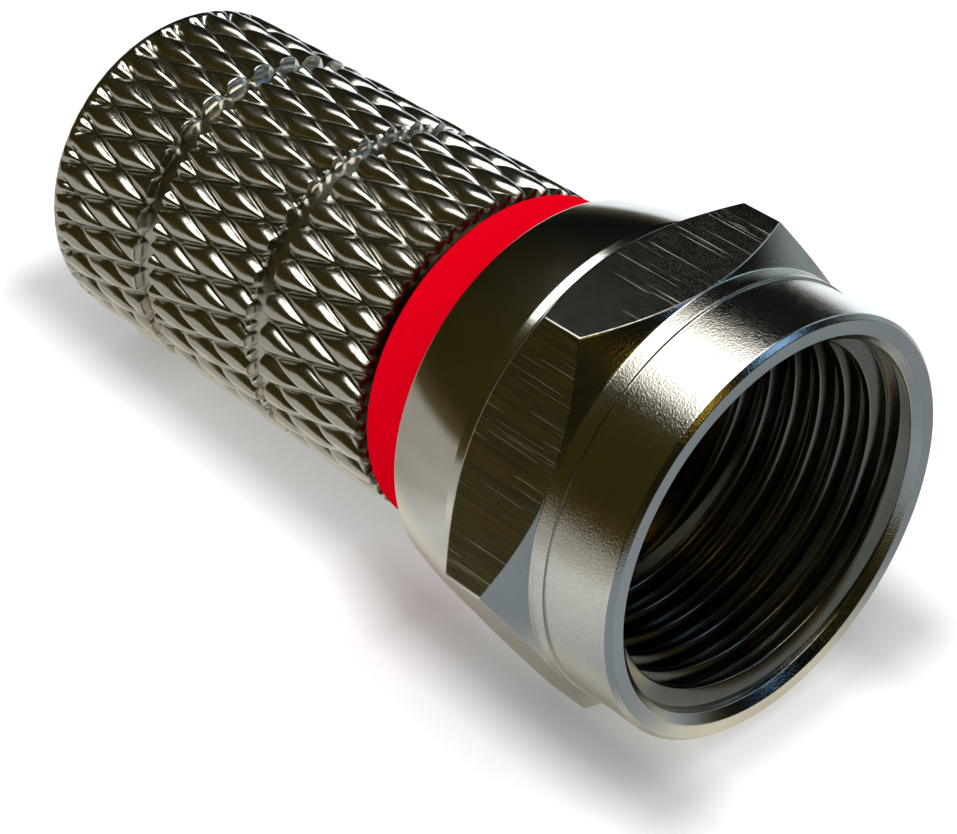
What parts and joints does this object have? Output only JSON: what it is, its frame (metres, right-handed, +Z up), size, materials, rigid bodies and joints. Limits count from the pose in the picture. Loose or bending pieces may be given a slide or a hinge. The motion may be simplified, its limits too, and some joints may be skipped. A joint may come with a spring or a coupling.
{
  "type": "coaxial cable plug",
  "caption": "Twist-on coaxial plug: free hexagonal coupling nut, flanged post, knurled cable barrel and a red sealing ring.",
  "frame": {"origin": "on the axis, in the front face of the post, where a socket's end stops", "axes": "+X along the axis, out of the mating end; +Z up, away from the flat that the nut lies on"},
  "size_m": [0.0221, 0.0128, 0.011],
  "materials": {
    "nut_plating": "turned brass, bright nickel plate with fine milling marks on the flats",
    "post_plating": "turned brass, nickel plate",
    "barrel_plating": "diamond knurled brass, bright nickel plate",
    "ring_rubber": "smooth red elastomer"
  },
  "bodies": {
    "barrel": {"knurled_barrel": "barrel_plating", "post": "post_plating", "red_ring": "ring_rubber"},
    "nut": {"coupling_nut": "nut_plating"}
  },
  "joints": [
    {"name": "nut_spin", "type": "hinge", "parent": "barrel", "child": "nut", "pos_m": [0, 0, 0], "axis": [1, 0, 0], "continuous": true}
  ]
}
